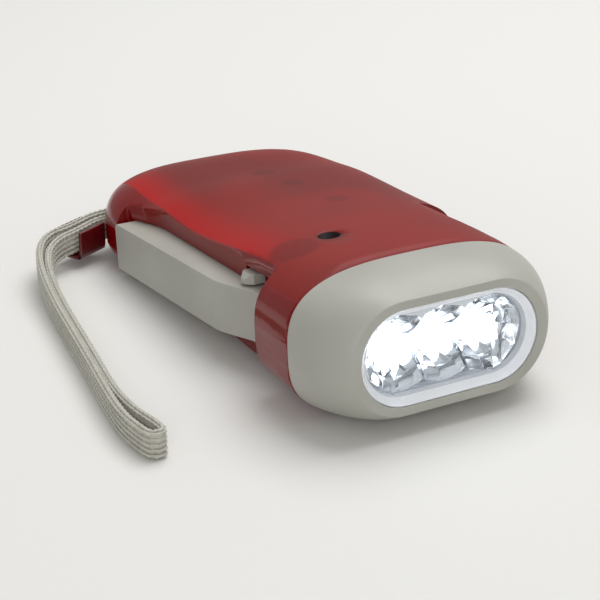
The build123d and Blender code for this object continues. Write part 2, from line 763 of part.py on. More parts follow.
coil_low = mid_y - pole_radius + seat_gap
coil_high = mid_y + pole_radius - seat_gap
bobbin = along_y(bobbin_radius, (coil_low, coil_high))
bobbin += along_y(bobbin_flange_radius, (coil_low, coil_low + bobbin_flange))
bobbin += along_y(bobbin_flange_radius, (coil_high - bobbin_flange, coil_high))
bobbin -= block((core_back - running_gap, core_back + core_bar + running_gap), (coil_low, coil_high),
                (core_z[0] - running_gap, core_z[1] + running_gap))
pieces["coil_bobbin"] = bobbin
winding_y = (coil_low + bobbin_flange + stack_gap, coil_high - bobbin_flange - stack_gap)
pieces["coil_winding"] = (along_y(winding_radius, winding_y)
                          - along_y(bobbin_radius + fixed_gap, winding_y))

# Circuit board and what is soldered to it
circuit = block(circuit_x, circuit_y, circuit_z)
for place in circuit_posts:
    circuit -= post(place, circuit_pin_radius + running_gap, circuit_z)
pieces["circuit_board"] = circuit
diodes = []
for count in range(diode_count):
    x, y = diode_start[0], diode_start[1] + count * diode_pitch
    diodes.append(block((x, x + diode_size[0]), (y, y + diode_size[1]),
                        (circuit_z[1] + stack_gap, circuit_z[1] + stack_gap + diode_size[2])))
pieces["rectifier_diodes"] = Compound(diodes)
pieces["capacitor"] = post(capacitor_place, capacitor_radius,
                           (circuit_z[1] + stack_gap, circuit_z[1] + capacitor_height))

# Cells and contacts
for name, count in (("cell_lower", 0), ("cell_upper", 1)):
    low = cell_bottom + count * (cell_height + stack_gap)
    pieces[name] = post(cell_centre, cell_radius, (low, low + cell_height))
contact_low = cell_bottom - stack_gap - contact_thickness
pieces["cell_contact_lower"] = post(cell_centre, contact_radius, (contact_low, cell_bottom - stack_gap))
contact_z = (cell_top + stack_gap, cell_top + stack_gap + contact_thickness)
contact = post(cell_centre, contact_radius, contact_z)
contact += block((cell_centre[0] - contact_width / 2, cell_centre[0] + contact_width / 2),
                 (cell_centre[1], cell_centre[1] + contact_reach), contact_z)
pieces["cell_contact_upper"] = contact

# Slide switch
switch_body = block(switch_x, switch_y, switch_z)
stem_y = switch_y[1] - switch_inset
switch_body -= block((stem_low, stem_high), (stem_y - slide_gap, switch_y[1]),
                     (switch_stem_z[0] - slide_gap, switch_stem_z[1] + slide_gap))
pieces["switch_body"] = switch_body
pieces["switch_knob"] = block((switch_rest_x - switch_stem / 2, switch_rest_x + switch_stem / 2),
                              (stem_y, switch_knob_reach), switch_stem_z)

# Lock slider: a base behind the wall and a facetted knob in the window
lock_z_low = lever_slot_half + slide_gap
knob_x = (lock_window[0] + slide_gap, lock_window[0] + slide_gap + lock_knob_length)
knob_top = lock_z_low + lock_knob_height
lock = block(lock_base, (lock_base_y, lock_base_y + lock_base_thickness), (lock_z_low, lock_base_top))
lock += block((knob_x[0], lock_base[1]), (lock_base_y, lock_base_y - lock_base_thickness),
              (lock_z_low, knob_top))
knob_profile = [(lock_base_y, lock_z_low), (lock_base_y, knob_top),
                (-lock_knob_reach + lock_knob_height / 2, knob_top),
                (-lock_knob_reach, (lock_z_low + knob_top) / 2), (-lock_knob_reach, lock_z_low)]
knob_face = make_face(Polyline(*[(knob_x[0], y, z) for y, z in knob_profile], close=True))
knob = extrude(knob_face, amount=lock_knob_length, dir=(1, 0, 0))
knob_slope = lock_knob_length / 3
for x, lean in ((knob_x[0], 1), (knob_x[1], -1)):
    wedge = make_face(Polyline((x, -lock_knob_reach, below), (x + lean * knob_slope, -lock_knob_reach, below),
                               (x, -lock_knob_reach + knob_slope, below), close=True))
    knob -= extrude(wedge, amount=above - below, dir=(0, 0, 1))
lock += knob
pieces["lock_slider"] = lock

# Screws and strap pin
screw_solids = []
for (place, seat), depth in zip(screws, (screw_depth, screw_tail_depth)):
    screw = post(place, screw_head_radius, (seat, seat + screw_head_height))
    screw += post(place, screw_shank_radius, (seat - depth, seat))
    top = seat + screw_head_height
    for across in ((screw_head_radius, driver_slot / 2), (driver_slot / 2, screw_head_radius)):
        screw -= block((place[0] - across[0], place[0] + across[0]),
                       (place[1] - across[1], place[1] + across[1]), (top - driver_depth, top + overrun))
    screw_solids.append(screw)
pieces["shell_screws"] = Compound(screw_solids)
pieces["strap_pin"] = post(strap_pin_place, strap_pin_radius, strap_pin_z)


def corner_radii(route):
    """The largest arc that the two runs at each corner of a route allow."""
    radii = []
    points = [Vector(*point) for point in route]
    for before, here, after in zip(points, points[1:], points[2:]):
        first, second = here - before, after - here
        shorter = min(first.length, second.length)
        radii.append(0.45 * shorter / tan(radians(first.get_angle(second) / 2)))
    return radii


def tube(route, radius):
    """A round wire along a route of straight runs and arcs."""
    path = FilletPolyline(*route, radius=corner_radii(route))
    section = Plane(path @ 0, z_dir=path % 0) * Circle(radius)
    wire = sweep(section, path)
    print("wire", len(route), "points, length", round(path.length, 1), "volume over section times length",
          round(wire.volume / (pi * radius ** 2 * path.length), 4))
    return wire


# Wires: two from the LED board and two from the winding, all to the circuit board
wire_radius = 0.35
wire_spacing = 1.3
led_route = [(-17.2, 9.0, 3.0), (-21.0, 10.0, 2.6), (-26.0, 12.5, 0.6), (-32.0, 15.0, -0.2),
             (-38.5, 17.0, -0.3), (-42.0, 17.9, -0.8), (-44.4, 18.3, -1.5), (-45.1, 18.4, -2.88)]
coil_route = [(-96.0, 11.0, 6.4), (-95.0, 14.0, 5.4), (-92.5, 17.6, 3.2), (-87.0, 18.6, 0.6),
              (-79.0, 18.2, -0.6), (-71.0, 17.8, -1.1), (-67.2, 17.5, -1.2), (-64.9, 17.4, -1.5),
              (-63.8, 17.35, -2.85)]
pieces["led_wires"] = Compound([
    tube([(x, y - hand * wire_spacing, z) for x, y, z in led_route], wire_radius) for hand in (0, 1)])
pieces["coil_wires"] = Compound([
    tube([(x, y + hand * wire_spacing, z) for x, y, z in coil_route], wire_radius) for hand in (0, 1)])

# Tilt of the lens axis when the torch rests on its head and its tail
tail_rest_rise = tail_rest_row[4] * bottom_rise
tail_rest_length = tail_rest_row[0] * body_length
tilt = degrees(atan2(bottom_rise - tail_rest_rise, tail_rest_length))
lens_height = bottom_rise * cos(radians(tilt)) - seam_x * sin(radians(tilt))
rested = Pos(0, 0, lens_height) * Rot(0, -tilt, 0)
placed = {name: rested * piece for name, piece in pieces.items()}
print("tilt", round(tilt, 3), "lens axis height at the lens", round(lens_height, 3))

# Wrist strap: a flat braid standing on its edge, on the table except where it rises to the tail.
# Its route is in the table's own plane, from the tail out to the far fold and back to the tail.
strap_width = 5.6
strap_thickness = 1.3
strap_floor_gap = 0.05
strap_route = [(-101.2, -18.3), (-102.0, -24.2), (-98.0, -32.0), (-96.6, -37.4), (-91.4, -41.2),
               (-83.0, -43.6), (-70.0, -46.0), (-55.0, -47.9), (-42.0, -49.4), (-30.0, -50.9),
               (-20.6, -51.3), (-15.4, -50.9), (-11.7, -50.4), (-11.5, -46.6), (-15.2, -46.3),
               (-22.0, -47.1), (-32.0, -47.3), (-45.0, -46.7), (-58.0, -45.4), (-71.0, -43.3),
               (-82.0, -40.5), (-90.0, -37.8), (-93.3, -34.4), (-95.4, -30.8), (-99.5, -24.0),
               (-98.7, -18.3)]
strap_rise = [(-104.5, 4.1), (-97.0, 3.2), (-90.0, 2.3), (-72.0, strap_floor_gap)]
strap_radii = corner_radii([(x, y, 0) for x, y in strap_route])
print("strap arc radii", [round(radius, 1) for radius in strap_radii])
strap_path = FilletPolyline(*[(x, y, 0) for x, y in strap_route], radius=strap_radii)
strap_section = Plane(strap_path @ 0, x_dir=(0, 0, 1), z_dir=strap_path % 0) * Rectangle(
    4 * strap_width, strap_thickness)
tall_strap = sweep(strap_section, strap_path)
print("strap length", round(strap_path.length, 1), "volume over section times length",
      round(tall_strap.volume / (4 * strap_width * strap_thickness * strap_path.length), 4))
lower_line = strap_rise + [(overrun, strap_floor_gap)]
upper_line = [(x, z + strap_width) for x, z in lower_line]
envelope = make_face(Polyline(*[(x, 0, z) for x, z in lower_line + upper_line[::-1]], close=True))
envelope = extrude(envelope, amount=-4 * near_reach, dir=(0, 1, 0))
placed["wrist_strap"] = tall_strap & envelope

# Sleeve that holds the two runs together just outside the tail, open along its top edge
collar_from = (-99.75, -25.9)
collar_to = (-96.15, -32.85)
collar_wall = 0.8
collar_room = 5.2
collar_low = strap_rise[1][1] - collar_wall - 2 * assembly_gap
collar_length = hypot(collar_to[0] - collar_from[0], collar_to[1] - collar_from[1])
collar_heading = degrees(atan2(collar_to[1] - collar_from[1], collar_to[0] - collar_from[0]))
collar = Box(collar_length, collar_room + 2 * collar_wall, strap_width + collar_wall,
             align=(Align.MIN, Align.CENTER, Align.MIN))
collar -= Pos(-overrun, 0, collar_wall) * Box(collar_length + 2 * overrun, collar_room, 2 * strap_width,
                                              align=(Align.MIN, Align.CENTER, Align.MIN))
placed["strap_collar"] = Pos(collar_from[0], collar_from[1], collar_low) * Rot(0, 0, collar_heading) * collar

# Origin under the middle of the box of everything but the strap and its sleeve
boxes = [placed[name].bounding_box() for name in pieces]
x_ends = min(box.min.X for box in boxes), max(box.max.X for box in boxes)
y_ends = min(box.min.Y for box in boxes), max(box.max.Y for box in boxes)
shift = Pos(-sum(x_ends) / 2, -sum(y_ends) / 2, 0)
for name, piece in placed.items():
    print(name, type(piece).__name__, len(piece.solids()), piece.is_valid, round(piece.volume, 1))
    export_step(shift * piece, f"parts/{name}.step")


def to_frame(point):
    """A drawn point in the frame of the placed torch."""
    return (shift * rested * Pos(*point)).position


print("shift", shift.position)
axis_tip = to_frame((0, 0, 1)) - to_frame((0, 0, 0))
lens_tip = to_frame((1, 0, 0)) - to_frame((0, 0, 0))
print("axis of lever and gears", axis_tip, "lens axis", lens_tip)
for name, place in (("lever", pivot), ("first gear", first_centre), ("second gear", second_centre),
                    ("rotor", rotor_centre), ("lock slider", (knob_x[0], -lock_knob_reach)),
                    ("switch", (switch_rest_x, switch_y[1])), ("lens face", (0, 0))):
    print(name, "at", to_frame((place[0], place[1], 0)))
print("ratios", sector_teeth / first_pinion_teeth, first_wheel_teeth / second_pinion_teeth,
      second_wheel_teeth / rotor_pinion_teeth, "lever opens", lever_opening)
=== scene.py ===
import bpy
import bmesh
from math import cos, pi, radians, sin
from mathutils import Matrix, Vector


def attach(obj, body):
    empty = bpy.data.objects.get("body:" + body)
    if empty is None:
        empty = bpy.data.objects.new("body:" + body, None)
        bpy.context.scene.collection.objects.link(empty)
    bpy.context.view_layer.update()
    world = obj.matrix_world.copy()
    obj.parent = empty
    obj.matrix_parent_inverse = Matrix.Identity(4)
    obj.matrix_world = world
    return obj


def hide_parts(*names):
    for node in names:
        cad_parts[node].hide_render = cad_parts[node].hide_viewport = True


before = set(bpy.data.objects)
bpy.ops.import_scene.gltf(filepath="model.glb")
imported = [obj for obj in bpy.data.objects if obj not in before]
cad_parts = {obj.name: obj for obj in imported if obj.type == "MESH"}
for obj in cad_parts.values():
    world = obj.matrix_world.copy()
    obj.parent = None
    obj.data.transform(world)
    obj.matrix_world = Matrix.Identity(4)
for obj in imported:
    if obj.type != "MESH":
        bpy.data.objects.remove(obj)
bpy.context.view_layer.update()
MM = 0.001

# Camera: low over the lever side, in front of the lens, with the long lens of a product photograph.
# Its place and turn come from the outlines of the torch in the picture.
camera_place = Vector((257.494, -138.024, 133.31)) * MM
camera_right = Vector((0.47249, 0.88132, -0.00540))
camera_up = Vector((-0.36188, 0.19959, 0.91061))
camera_data = bpy.data.cameras.new("camera")
camera_data.lens = 96.0
camera_data.sensor_width = 36.0
camera_data.clip_start = 0.01
camera_data.clip_end = 10.0
camera = bpy.data.objects.new("camera", camera_data)
bpy.context.scene.collection.objects.link(camera)
camera.matrix_world = Matrix.Translation(camera_place) @ Matrix(
    (camera_right, camera_up, camera_right.cross(camera_up))).transposed().to_4x4()
bpy.context.scene.camera = camera
bpy.context.scene.view_settings.view_transform = "Standard"

# Wrist strap: a flat knitted cord of grey polyester that stands on its edge, about 5.6 mm wide.
# It leaves the slot in the tail, folds back at its far end and returns to the pin behind the same slot.
strap_width = 5.6 * MM
strap_thickness = 1.3 * MM
strap_lift = 2.85
strap_route = [
    (-101.2, -18.3, 3.7), (-102.0, -24.2, 3.8), (-98.0, -32.0, 3.3), (-96.6, -37.4, 3.15),
    (-91.4, -41.2, 2.5), (-83.0, -43.7, 1.4), (-70.0, -45.6, 0.05), (-56.5, -47.3, 0.05),
    (-43.0, -49.0, 0.05), (-31.0, -50.7, 0.05), (-21.6, -51.6, 0.05), (-15.4, -50.9, 0.05),
    (-12.6, -50.2, 0.05), (-12.4, -47.6, 0.05), (-16.0, -47.9, 0.05), (-22.4, -49.3, 0.05),
    (-31.0, -49.35, 0.05), (-43.2, -47.68, 0.05), (-56.7, -45.98, 0.05), (-70.2, -44.28, 0.05),
    (-82.6, -42.3, 1.3), (-90.2, -39.6, 2.3), (-94.3, -35.7, 2.7), (-95.9, -31.0, 3.0),
    (-99.5, -24.0, 3.5), (-98.7, -18.3, 3.4)]
torch_shift = Vector((55.674, -1.37312, 14.3425)) * MM
wales_per_face = 5
stitch_length = 1.25 * MM
strand_radius = 0.25 * MM
strand_step = 0.42 * MM
strand_seat = 0.75
strand_middle = 0.8
strand_swell = 0.2
leg_spread = 0.11
leg_middle = 0.75
leg_swing = 0.45
leg_lag = 0.6
leg_depth = 0.16 * MM
face_depth = 0.5

route_curve = bpy.data.curves.new("strap_route", "CURVE")
route_curve.dimensions = "3D"
route_spline = route_curve.splines.new("NURBS")
route_spline.points.add(len(strap_route) - 1)
for point, (x, y, z) in zip(route_spline.points, strap_route):
    point.co = (x * MM + torch_shift.x, y * MM + torch_shift.y, (z + strap_lift) * MM, 1)
route_spline.order_u = 3
route_spline.use_endpoint_u = True
route_spline.resolution_u = 24
route_object = bpy.data.objects.new("strap_route", route_curve)
bpy.context.scene.collection.objects.link(route_object)
bpy.context.view_layer.update()
route_mesh = bpy.data.meshes.new_from_object(route_object)
strap_points = [vertex.co.copy() for vertex in route_mesh.vertices]
bpy.data.objects.remove(route_object)

strap_runs = [0.0]
for before, here in zip(strap_points, strap_points[1:]):
    strap_runs.append(strap_runs[-1] + (here - before).length)
strap_length = strap_runs[-1]


def along_strap(distance):
    """The centreline point at a distance along the strap, and the level direction square to it."""
    low = max(k for k in range(len(strap_runs) - 1) if strap_runs[k] <= distance)
    share = (distance - strap_runs[low]) / (strap_runs[low + 1] - strap_runs[low])
    ahead = strap_points[min(low + 2, len(strap_points) - 1)] - strap_points[max(low - 1, 0)]
    place = strap_points[low].lerp(strap_points[low + 1], share)
    return place, Vector((ahead.y, -ahead.x, 0)).normalized()


def piece(name, mesh, body, stands_for=()):
    """Links a finished mesh as a named piece that rides on a body and stands for CAD nodes."""
    obj = bpy.data.objects.new(name, mesh)
    bpy.context.scene.collection.objects.link(obj)
    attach(obj, body)
    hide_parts(*stands_for)
    return obj


def add_node(material, kind, inputs=(), output=0, **settings):
    """Adds one node and gives its output: inputs are (socket, value or the output that feeds it)."""
    made = material.node_tree.nodes.new(kind)
    for key, value in settings.items():
        setattr(made, key, value)
    for key, value in inputs:
        if isinstance(value, bpy.types.NodeSocket):
            material.node_tree.links.new(value, made.inputs[key])
        else:
            made.inputs[key].default_value = value
    return made.outputs[output]


def linear(text):
    """An sRGB hex colour as linear values."""
    shares = [int(text[k:k + 2], 16) / 255 for k in (1, 3, 5)]
    return tuple(c / 12.92 if c <= 0.04045 else ((c + 0.055) / 1.055) ** 2.4 for c in shares) + (1.0,)


def new_material(name):
    """An empty node material with its shader and output joined."""
    material = bpy.data.materials.new(name)
    material.use_nodes = True
    return material, material.node_tree.nodes["Principled BSDF"]


def feed(material, source, shader, socket):
    """Joins an output to one of a shader's sockets."""
    material.node_tree.links.new(source, shader.inputs[socket])


# The knit: each wale is a chain of stitches, whose two legs swing out and in once a stitch.
# Polyester yarn is bright where a stitch turns up to the light and grey between the stitches.
strands = bpy.data.curves.new("strap_strands", "CURVE")
strands.dimensions = "3D"
strands.bevel_depth = strand_radius
strands.bevel_resolution = 1
wales = []
for face in (1, -1):
    wales += [(face, (count + 0.5) / wales_per_face - 0.5, 0) for count in range(wales_per_face)]
wales += [(0, 0, 1), (0, 0, -1)]
wale_width = (strap_width - 2 * strand_radius) / wales_per_face
strand_count = int(strap_length / strand_step)
samples = []
for k in range(strand_count + 1):
    distance = k * strap_length / strand_count
    samples.append((distance, *along_strap(distance)))
for face, height, edge in wales:
    for leg in (-1, 1):
        spline = strands.splines.new("POLY")
        spline.points.add(len(samples) - 1)
        for point, (distance, place, side) in zip(spline.points, samples):
            turn = 2 * pi * distance / stitch_length
            swing = leg * wale_width * leg_spread * (leg_middle + leg_swing * cos(turn))
            rise = leg_depth * sin(turn + leg * leg_lag)
            if edge:
                out, up = swing, edge * (strap_width / 2 - strand_radius + min(rise, 0))
            else:
                out = face * (strap_thickness / 2 - strand_radius * strand_seat + rise * face_depth)
                up = height * (strap_width - 2 * strand_radius) + swing
            point.co = (*(place + side * out + Vector((0, 0, up))), 1)
            point.radius = strand_middle + strand_swell * sin(turn + leg * leg_lag)
strand_object = bpy.data.objects.new("strap_strands", strands)
bpy.context.scene.collection.objects.link(strand_object)
bpy.context.view_layer.update()
strap_mesh = bpy.data.meshes.new_from_object(strand_object)
bpy.data.objects.remove(strand_object)

# Under the stitches lies the body of the knit, a strip that fills the cord between its wales.
# It is drawn flat, in the same yarn, and its faces show only as the dark grooves between the ribs.
core_edge_room = 4 * strand_radius
core_face_room = 2.4 * strand_radius
core_height = strap_width - core_edge_room
core_thickness = strap_thickness - core_face_room
core = bmesh.new()
row = [core.verts.new(place - side * core_thickness / 2 - Vector((0, 0, core_height / 2)))
       for _, place, side in samples[::2]]
for before, here in zip(row, row[1:]):
    core.edges.new((before, here))
raised = bmesh.ops.extrude_edge_only(core, edges=core.edges[:])
bmesh.ops.translate(core, verts=[v for v in raised["geom"] if isinstance(v, bmesh.types.BMVert)],
                    vec=(0, 0, core_height))
bmesh.ops.solidify(core, geom=core.faces[:], thickness=core_thickness)
bmesh.ops.recalc_face_normals(core, faces=core.faces[:])
core.from_mesh(strap_mesh)
core.to_mesh(strap_mesh)
core.free()
strap_mesh.shade_smooth()

braid, braid_shader = new_material("knitted_polyester")
braid_shader.inputs["Roughness"].default_value = 0.62
braid_shader.inputs["Sheen Weight"].default_value = 0.35
braid_shader.inputs["Sheen Roughness"].default_value = 0.4
braid_shader.inputs["Sheen Tint"].default_value = linear("#F2F0EA")
yarn_tone_size = 0.96 * MM
fibre_size = 0.18 * MM
fibre_height = 0.05 * MM
wear_size = 11.11 * MM
yarn_place = add_node(braid, "ShaderNodeTexCoord", output="Object")
yarn = add_node(braid, "ShaderNodeTexNoise", [("Vector", yarn_place), ("Scale", 1 / yarn_tone_size),
                                              ("Detail", 4.0)])
wear = add_node(braid, "ShaderNodeTexNoise", [("Vector", yarn_place), ("Scale", 1 / wear_size),
                                              ("Detail", 2.0)])
yarn_tone = add_node(braid, "ShaderNodeValToRGB", [("Fac", yarn)])
yarn_stops = yarn_tone.node.color_ramp.elements
yarn_stops[0].position = 0.3
yarn_stops[0].color = linear("#ABA99F")
yarn_stops[1].position = 0.68
yarn_stops[1].color = linear("#CFCDC2")
soil = add_node(braid, "ShaderNodeMix", [("Factor", wear), (6, yarn_tone), (7, linear("#BDBBB0"))],
                output=2, data_type="RGBA")
feed(braid, soil, braid_shader, "Base Color")
fibres = add_node(braid, "ShaderNodeTexNoise", [("Vector", yarn_place), ("Scale", 1 / fibre_size),
                                                ("Detail", 2.0)])
fibre_bump = add_node(braid, "ShaderNodeBump", [("Height", fibres), ("Strength", 0.35),
                                                ("Distance", fibre_height)])
feed(braid, fibre_bump, braid_shader, "Normal")
strap_mesh.materials.clear()
strap_mesh.materials.append(braid)
strap = piece("wrist_strap_knit", strap_mesh, "housing", ["wrist_strap"])

# Sleeve near the tail that holds the two runs of the strap together: a short moulded channel,
# dark red glossy vinyl, pushed over the cord, open along its top edge and round underneath.
merge_distance = 0.002 * MM
joined_flat_angle = 0.2
round_segments = 6


def finish_copy(name, node, body, material, edge=0.0, smooth=35.0, join_flats=False,
                rounds=None):
    """Makes a piece from a merged copy of a CAD node, which stays where the node is.

    It is smooth where it curves. Its sharp edges are broken, and those that rounds picks are rounded more.
    """
    shape = bmesh.new()
    shape.from_mesh(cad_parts[node].data)
    bmesh.ops.remove_doubles(shape, verts=shape.verts[:], dist=merge_distance)
    if join_flats:
        bmesh.ops.dissolve_limit(shape, angle_limit=radians(joined_flat_angle), verts=shape.verts[:],
                                 edges=shape.edges[:])
    if rounds:
        chosen, radius = rounds
        bmesh.ops.bevel(shape, geom=[side for side in shape.edges if chosen(side)], offset=radius * MM,
                        segments=round_segments, profile=0.5, affect="EDGES", material=-1)
    mesh = bpy.data.meshes.new(name)
    shape.to_mesh(mesh)
    shape.free()
    mesh.shade_smooth()
    mesh.set_sharp_from_angle(angle=radians(smooth))
    mesh.materials.append(material)
    made = piece(name, mesh, body, [node])
    if edge:
        bevel = made.modifiers.new("broken_edges", "BEVEL")
        bevel.width = edge * MM
        bevel.segments = 2
        bevel.limit_method = "ANGLE"
        bevel.angle_limit = radians(smooth)
        bevel.harden_normals = True
    return made


sleeve_low = min(vertex.co.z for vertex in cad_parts["strap_collar"].data.vertices)
sleeve_long_edge = 7.3 * MM
sleeve_round = 1.7
same_level = 0.01 * MM
vinyl_grain = 1.43 * MM
vinyl_bump_height = 0.05 * MM
collar_vinyl, vinyl = new_material("dark_red_vinyl")
vinyl.inputs["Roughness"].default_value = 0.24
vinyl.inputs["IOR"].default_value = 1.53
vinyl.inputs["Coat Weight"].default_value = 0.3
vinyl.inputs["Coat Roughness"].default_value = 0.12
vinyl_place = add_node(collar_vinyl, "ShaderNodeTexCoord", output="Object")
vinyl_marks = add_node(collar_vinyl, "ShaderNodeTexNoise", [
    ("Vector", vinyl_place), ("Scale", 1 / vinyl_grain), ("Detail", 3.0)])
vinyl_tone = add_node(collar_vinyl, "ShaderNodeValToRGB", [("Fac", vinyl_marks)])
vinyl_tone.node.color_ramp.elements[0].color = linear("#4A0A0E")
vinyl_tone.node.color_ramp.elements[1].color = linear("#6E1519")
feed(collar_vinyl, vinyl_tone, vinyl, "Base Color")
vinyl_bump = add_node(collar_vinyl, "ShaderNodeBump", [("Height", vinyl_marks), ("Strength", 0.15),
                                                       ("Distance", vinyl_bump_height)])
feed(collar_vinyl, vinyl_bump, vinyl, "Normal")


def under_sleeve(side):
    """Whether an edge is one of the two long ones under the sleeve."""
    level = max(end.co.z for end in side.verts)
    return side.calc_length() > sleeve_long_edge and level < sleeve_low + same_level


collar = finish_copy("strap_sleeve", "strap_collar", "housing", collar_vinyl, edge=0.35,
                     join_flats=True, rounds=(under_sleeve, sleeve_round))

# Stage: a pale floor of matt paper, a large soft box overhead and a weaker one from the lens side.
# An even pale room lights the rest, and the camera sees it brighter, as a white backdrop.
floor_size = 4.0
floor_mesh = bpy.data.meshes.new("floor")
floor_shape = bmesh.new()
bmesh.ops.create_grid(floor_shape, x_segments=1, y_segments=1, size=floor_size / 2)
floor_shape.to_mesh(floor_mesh)
floor_shape.free()
floor = bpy.data.objects.new("floor", floor_mesh)
bpy.context.scene.collection.objects.link(floor)
floor_paper, paper = new_material("floor_paper")
paper.inputs["Base Color"].default_value = linear("#E4E3E0")
paper.inputs["Roughness"].default_value = 0.9
paper.inputs["Specular IOR Level"].default_value = 0.2
floor_mesh.materials.append(floor_paper)

room = bpy.data.worlds.new("room")
bpy.context.scene.world = room
room.use_nodes = True
plain = room.node_tree.nodes["Background"]
plain.inputs["Color"].default_value = linear("#F4F4F2")
plain.inputs["Strength"].default_value = 0.5
seen = add_node(room, "ShaderNodeBackground", [("Color", linear("#F0F0EE")), ("Strength", 1.0)])
seen_ray = add_node(room, "ShaderNodeLightPath", output="Is Camera Ray")
seen_through = seen_ray.node.outputs["Is Transmission Ray"]
either = add_node(room, "ShaderNodeMath", [(0, seen_ray), (1, seen_through)], operation="MAXIMUM")
room_mix = add_node(room, "ShaderNodeMixShader", [(0, either), (1, plain.outputs[0]), (2, seen)])
feed(room, room_mix, room.node_tree.nodes["World Output"], "Surface")

for name, place, aim, size, watts in (
        ("overhead_box", (-0.12, 0.25, 0.75), (0.0, 0.0, 0.0), 0.6, 4.6),
        ("lens_side_box", (0.75, -0.45, 0.38), (0.0, 0.0, 0.01), 0.4, 1.6)):
    lamp_data = bpy.data.lights.new(name, "AREA")
    lamp_data.shape = "SQUARE"
    lamp_data.size = size
    lamp_data.energy = watts
    lamp = bpy.data.objects.new(name, lamp_data)
    bpy.context.scene.collection.objects.link(lamp)
    lamp.location = place
    lamp.rotation_mode = "QUATERNION"
    lamp.rotation_quaternion = (Vector(aim) - Vector(place)).to_track_quat("-Z", "Y")

# Case shells: two mouldings of transparent red polystyrene, screwed together on the parting plane.
# The top is spark-eroded to a fine frost that scatters pink; the sides, the recess and the underside are
# polished, deeper red. Painted glow brightens the top near the lever-side edge; bosses and bores get
# painted shade.
torch_tilt = radians(5.0188)
frost_low = -0.9 * MM
frost_high = 0.7 * MM
frost_start = 9.4 * MM
frost_fall = 0.030
frost_grain = 0.16 * MM
recess_wall_y = -19.15 * MM
recess_ends = (-99.0 * MM, -26.0 * MM)
edge_softness = 1.0 * MM
bore_radius = 2.13 * MM
screw_places = [(-30.0, -6.5), (-105.8, 3.7)]
boss_places = [(-29.5, -14.0, 4.0), (-52.1, 7.52, 1.8), (-68.2, 6.27, 1.8), (-79.6, 5.4, 1.8),
               (-99.9, -16.4, 2.2), (-30.0, -6.5, 2.6), (-105.8, 3.7, 2.6)]
boss_blur = (-0.2, 1.2)
boss_shade = 0.4
cloud_size = 33.33 * MM
glow_y = (-19.0 * MM, -9.0 * MM)
glow_x = (-40.0 * MM, -26.0 * MM)
polished_roughness = 0.07
frosted_roughness = 0.5
polished_clearness = 0.45
frosted_clearness = 0.3
frost_bump_height = 0.04 * MM


def torch_axes(material):
    """Object coordinates turned into the torch's own axes, in metres: x out of the lens, z up."""
    place = add_node(material, "ShaderNodeTexCoord", output="Object")
    turned = add_node(material, "ShaderNodeMapping", [
        ("Vector", place), ("Location", torch_shift), ("Rotation", (0, -torch_tilt, 0))],
        vector_type="TEXTURE")
    return turned, add_node(material, "ShaderNodeSeparateXYZ", [(0, turned)]).node.outputs


red_plastic, red = new_material("transparent_red_polystyrene")
red_place, red_axes = torch_axes(red_plastic)
frost_line = add_node(red_plastic, "ShaderNodeMath", [
    (0, red_axes["X"]), (1, frost_fall), (2, frost_start)], operation="MULTIPLY_ADD")
over_line = add_node(red_plastic, "ShaderNodeMath", [(0, red_axes["Z"]), (1, frost_line)],
                     operation="SUBTRACT")
top_share = add_node(red_plastic, "ShaderNodeMapRange", [
    ("Value", over_line), ("From Min", frost_low), ("From Max", frost_high)],
    interpolation_type="SMOOTHSTEP")
open_side = add_node(red_plastic, "ShaderNodeMapRange", [
    ("Value", red_axes["Y"]), ("From Min", recess_wall_y), ("From Max", recess_wall_y + edge_softness / 2)],
    interpolation_type="SMOOTHSTEP")
for recess_end, first, last in ((recess_ends[0], 1.0, 0.0), (recess_ends[1], 0.0, 1.0)):
    beyond = add_node(red_plastic, "ShaderNodeMapRange", [
        ("Value", red_axes["X"]), ("From Min", recess_end), ("From Max", recess_end + edge_softness),
        ("To Min", first), ("To Max", last)], interpolation_type="SMOOTHSTEP")
    open_side = add_node(red_plastic, "ShaderNodeMath", [(0, open_side), (1, beyond)], operation="MAXIMUM")
frost = add_node(red_plastic, "ShaderNodeMath", [(0, top_share), (1, open_side)], operation="MULTIPLY")

red_plan = add_node(red_plastic, "ShaderNodeVectorMath", [(0, red_place), (1, (1, 1, 0))],
                    operation="MULTIPLY")
# Painted shade: inside the screw bores the skin is painted near-black and opaque, for the dark of the deep
# holes.
bore_shade = None
for x, y in screw_places:
    from_screw = add_node(red_plastic, "ShaderNodeVectorMath", [(0, red_plan), (1, (x * MM, y * MM, 0))],
                          output="Value", operation="DISTANCE")
    in_bore = add_node(red_plastic, "ShaderNodeMath", [(0, from_screw), (1, bore_radius)],
                       operation="LESS_THAN")
    bore_shade = in_bore if bore_shade is None else add_node(
        red_plastic, "ShaderNodeMath", [(0, bore_shade), (1, in_bore)], operation="MAXIMUM")
# Painted shade: soft dark discs over the bosses inside, standing for their shadows seen through the
# translucent top.
boss_shade_mask = None
for x, y, radius in boss_places:
    from_boss = add_node(red_plastic, "ShaderNodeVectorMath", [(0, red_plan), (1, (x * MM, y * MM, 0))],
                         output="Value", operation="DISTANCE")
    on_boss = add_node(red_plastic, "ShaderNodeMapRange", [
        ("Value", from_boss), ("From Min", (radius + boss_blur[0]) * MM),
        ("From Max", (radius + boss_blur[1]) * MM),
        ("To Min", 1.0), ("To Max", 0.0)], interpolation_type="SMOOTHSTEP")
    boss_shade_mask = on_boss if boss_shade_mask is None else add_node(
        red_plastic, "ShaderNodeMath", [(0, boss_shade_mask), (1, on_boss)], operation="MAXIMUM")

